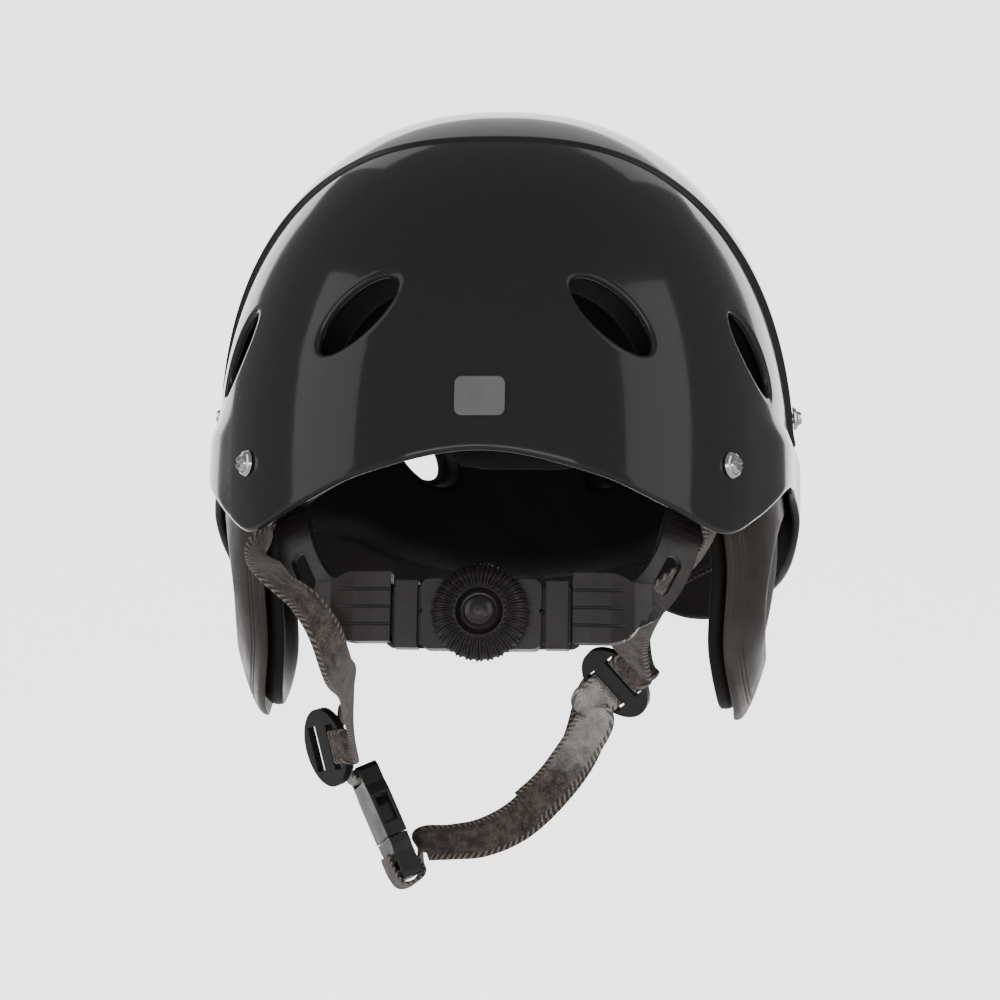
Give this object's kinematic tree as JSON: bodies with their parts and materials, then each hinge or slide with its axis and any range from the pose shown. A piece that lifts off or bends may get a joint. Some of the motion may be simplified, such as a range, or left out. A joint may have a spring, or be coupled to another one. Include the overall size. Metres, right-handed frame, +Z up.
{
  "type": "water sports helmet",
  "caption": "Full-cut water sports helmet with slanted oval vents, removable ear guards, rear dial cradle, webbing chin strap and side-release buckle.",
  "frame": {"origin": "middle of the head space at brow level", "axes": "+Z up to the crown, -Y towards the rear dial, +X towards the wearer's right ear"},
  "size_m": [0.2268, 0.266, 0.2939],
  "materials": {
    "shell_gloss": "gloss",
    "foam_black": "matte foam",
    "pad_fabric": "woven",
    "screw_metal": "polished",
    "hidden_metal": "brushed",
    "label_grey": "satin",
    "guard_plastic": "satin",
    "guard_mesh": "woven",
    "ear_foam": "matte foam",
    "cradle_plastic": "satin",
    "dial_plastic": "satin",
    "belt_plastic": "satin",
    "buckle_plastic": "satin",
    "webbing": "woven"
  },
  "bodies": {
    "helmet": {"outer_shell": "shell_gloss", "foam_liner": "foam_black", "front_pad": "pad_fabric", "side_pad_right": "pad_fabric", "side_pad_left": "pad_fabric", "rear_pad": "pad_fabric", "crown_pad": "pad_fabric", "strap_screws": "screw_metal", "screw_washers": "screw_metal", "strap_nuts": "hidden_metal", "size_label": "label_grey", "anchor_bracket_right": "cradle_plastic", "anchor_bracket_left": "cradle_plastic", "pivot_pins": "hidden_metal", "rear_strap_right": "webbing", "rear_strap_left": "webbing", "front_strap_right": "webbing", "front_strap_left": "webbing", "divider_right": "buckle_plastic", "divider_left": "buckle_plastic", "buckle_female": "buckle_plastic", "lower_strap_left": "webbing", "chin_strap": "webbing", "strap_tail": "webbing"},
    "guard_right": {"ear_guard_right": "guard_plastic", "ear_mesh_right": "guard_mesh", "ear_pad_right": "ear_foam"},
    "guard_left": {"ear_guard_left": "guard_plastic", "ear_mesh_left": "guard_mesh", "ear_pad_left": "ear_foam"},
    "cradle": {"cradle_arm_right": "cradle_plastic", "cradle_arm_left": "cradle_plastic", "dial_housing": "cradle_plastic", "belt_keepers": "cradle_plastic", "dial_back_plate": "cradle_plastic", "nape_pad": "pad_fabric", "click_spring": "hidden_metal"},
    "dial": {"dial_knob": "dial_plastic", "dial_cap": "dial_plastic", "dial_pinion": "dial_plastic"},
    "rack_right": {"belt_right": "belt_plastic"},
    "rack_left": {"belt_left": "belt_plastic"},
    "buckle_tongue": {"buckle_male": "buckle_plastic", "chin_strap_end": "webbing"},
    "prong_right": {"buckle_prong_right": "buckle_plastic"},
    "prong_left": {"buckle_prong_left": "buckle_plastic"}
  },
  "joints": [
    {"name": "cradle_tilt", "type": "hinge", "parent": "helmet", "child": "cradle", "pos_m": [0, -0.082, -0.014], "axis": [1, 0, 0], "range_deg": [0, 6]},
    {"name": "dial_turn", "type": "hinge", "parent": "cradle", "child": "dial", "pos_m": [0, -0.1085, -0.0595], "axis": [0, -1, 0], "range_deg": [-80, 80]},
    {"name": "rack_right_slide", "type": "slide", "parent": "cradle", "child": "rack_right", "axis": [1, 0, 0], "range_m": [-0.007, 0.007]},
    {"name": "rack_left_slide", "type": "slide", "parent": "cradle", "child": "rack_left", "axis": [1, 0, 0], "range_m": [-0.007, 0.007]},
    {"name": "guard_right_slide", "type": "slide", "parent": "helmet", "child": "guard_right", "axis": [0, 0, -1], "range_m": [0, 0.03]},
    {"name": "guard_left_slide", "type": "slide", "parent": "helmet", "child": "guard_left", "axis": [0, 0, -1], "range_m": [0, 0.03]},
    {"name": "buckle_release", "type": "slide", "parent": "helmet", "child": "buckle_tongue", "axis": [0.42, 0, -0.9075], "range_m": [0, 0.028]},
    {"name": "prong_right_squeeze", "type": "hinge", "parent": "buckle_tongue", "child": "prong_right", "pos_m": [-0.04475, 0.02158, -0.13174], "axis": [0.8657, 0.3, 0.4007], "range_deg": [0, 9], "stiffness_Nm_per_rad": 0.05},
    {"name": "prong_left_squeeze", "type": "hinge", "parent": "buckle_tongue", "child": "prong_left", "pos_m": [-0.04099, 0.00842, -0.13001], "axis": [-0.8657, -0.3, -0.4007], "range_deg": [0, 9], "stiffness_Nm_per_rad": 0.05}
  ],
  "couplings": [
    {"joint": "rack_right_slide", "follows": "dial_turn", "m_per_rad": -0.005},
    {"joint": "rack_left_slide", "follows": "dial_turn", "m_per_rad": 0.005}
  ]
}
